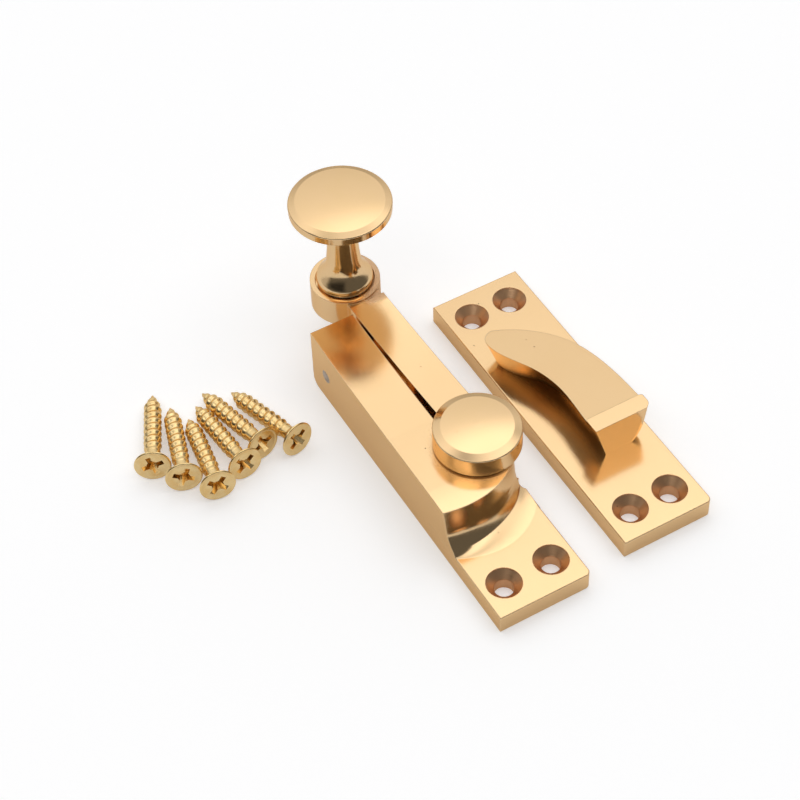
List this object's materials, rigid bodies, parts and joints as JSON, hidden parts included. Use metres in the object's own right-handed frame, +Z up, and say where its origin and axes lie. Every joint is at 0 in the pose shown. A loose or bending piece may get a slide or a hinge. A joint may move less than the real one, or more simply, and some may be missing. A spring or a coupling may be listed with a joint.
{
  "type": "sash fastener with hook plate",
  "caption": "Narrow polished brass sash fastener: a case with a swinging hook arm and turned knob, a horned hook plate, and loose wood screws.",
  "frame": {"origin": "centre of the case's underside", "axes": "+Z up out of the sash rail, +Y from the case's screw end to its knob end, +X from the case to the keep"},
  "size_m": [0.0867, 0.0868, 0.0355],
  "materials": {
    "cast_brass": "polished cast bronze-brass, unlacquered",
    "turned_brass": "turned and polished",
    "washer_brass": "plain",
    "screw_brass": "bright yellow plated",
    "spring_steel": "tempered strip",
    "pin_steel": "ground flush"
  },
  "bodies": {
    "case_body": {"case": "cast_brass", "pivot_cap": "turned_brass", "base_washer": "washer_brass", "hub_washer": "washer_brass", "leaf_spring": "spring_steel", "spring_pin": "pin_steel", "keep": "cast_brass", "screw_1": "screw_brass", "screw_2": "screw_brass", "screw_3": "screw_brass", "screw_4": "screw_brass", "screw_5": "screw_brass", "screw_6": "screw_brass"},
    "arm_body": {"arm": "cast_brass", "knob": "turned_brass", "knob_washer": "washer_brass"}
  },
  "joints": [
    {"name": "arm_swing", "type": "hinge", "parent": "case_body", "child": "arm_body", "pos_m": [0.004, -0.0042, 0], "axis": [0, 0, -1], "range_deg": [0, 92.4]}
  ]
}
